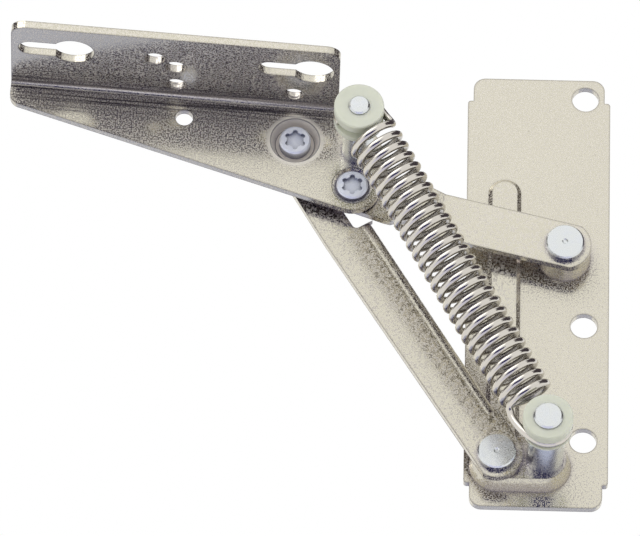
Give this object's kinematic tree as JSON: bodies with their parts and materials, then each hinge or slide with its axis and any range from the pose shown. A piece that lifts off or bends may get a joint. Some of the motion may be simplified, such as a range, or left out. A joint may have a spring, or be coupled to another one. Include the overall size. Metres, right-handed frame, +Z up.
{
  "type": "flap stay",
  "caption": "Swing-up flap fitting: a drilled base plate, pivoted links and an angled flap bracket with keyholes, drawn open by a hooked tension spring on spools.",
  "frame": {"origin": "centre of the base plate's back face, which lies on the cabinet side", "axes": "+X to the right seen from the front, +Y into the cabinet side, +Z up"},
  "size_m": [0.15, 0.0417, 0.12],
  "materials": {
    "sheet_steel": "satin nickel plating",
    "zinc_steel": "bright zinc plating",
    "spring_steel": "bright drawn wire",
    "nylon": "natural, slightly translucent"
  },
  "bodies": {
    "base": {"base_plate": "sheet_steel", "rear_pivot_rivet": "zinc_steel", "front_pivot_rivet": "zinc_steel", "lower_spring_post": "zinc_steel"},
    "rear_link": {"rear_link": "sheet_steel"},
    "bracket": {"flap_bracket": "sheet_steel", "rear_bracket_rivet": "zinc_steel", "front_bracket_rivet": "zinc_steel", "upper_spring_post": "zinc_steel"},
    "front_link": {"front_link": "sheet_steel", "front_link_rivet": "zinc_steel"},
    "spring": {"tension_spring": "spring_steel", "lower_spool": "nylon"},
    "spring_end": {"upper_hook": "spring_steel"},
    "upper_spool": {"upper_spool": "nylon"}
  },
  "joints": [
    {"name": "rear_link_swing", "type": "hinge", "parent": "base", "child": "rear_link", "pos_m": [0.0065, -0.008, 0.0097], "axis": [0, 1, 0], "range_deg": [0, 75.67], "stiffness_Nm_per_rad": 0.3, "springref_deg": -40.11},
    {"name": "bracket_turn", "type": "hinge", "parent": "rear_link", "child": "bracket", "pos_m": [-0.0466, -0.0101, 0.0224], "axis": [0, -1, 0], "range_deg": [0, 169.8]},
    {"name": "front_link_swing", "type": "hinge", "parent": "base", "child": "front_link", "pos_m": [-0.0099, -0.008, -0.049], "axis": [0, 1, 0], "range_deg": [0, 33.9]},
    {"name": "spring_swing", "type": "hinge", "parent": "base", "child": "spring", "pos_m": [0.0021, -0.0254, -0.0492], "axis": [0, 1, 0], "range_deg": [0, 27]},
    {"name": "spring_stretch", "type": "slide", "parent": "spring", "child": "spring_end", "axis": [-0.5036, 0, 0.8639], "range_m": [0, 0.0197], "deforming": ["tension_spring", "upper_hook"]},
    {"name": "upper_spool_turn", "type": "hinge", "parent": "bracket", "child": "upper_spool", "pos_m": [-0.0455, -0.0324, 0.03245], "axis": [0, 1, 0], "continuous": true}
  ],
  "couplings": [
    {"joint": "bracket_turn", "follows": "rear_link_swing", "ratio": 2.2422},
    {"joint": "front_link_swing", "follows": "rear_link_swing", "ratio": 0.44701},
    {"joint": "spring_swing", "follows": "rear_link_swing", "ratio": 0.35622},
    {"joint": "spring_stretch", "follows": "rear_link_swing", "m_per_rad": 0.014818}
  ]
}
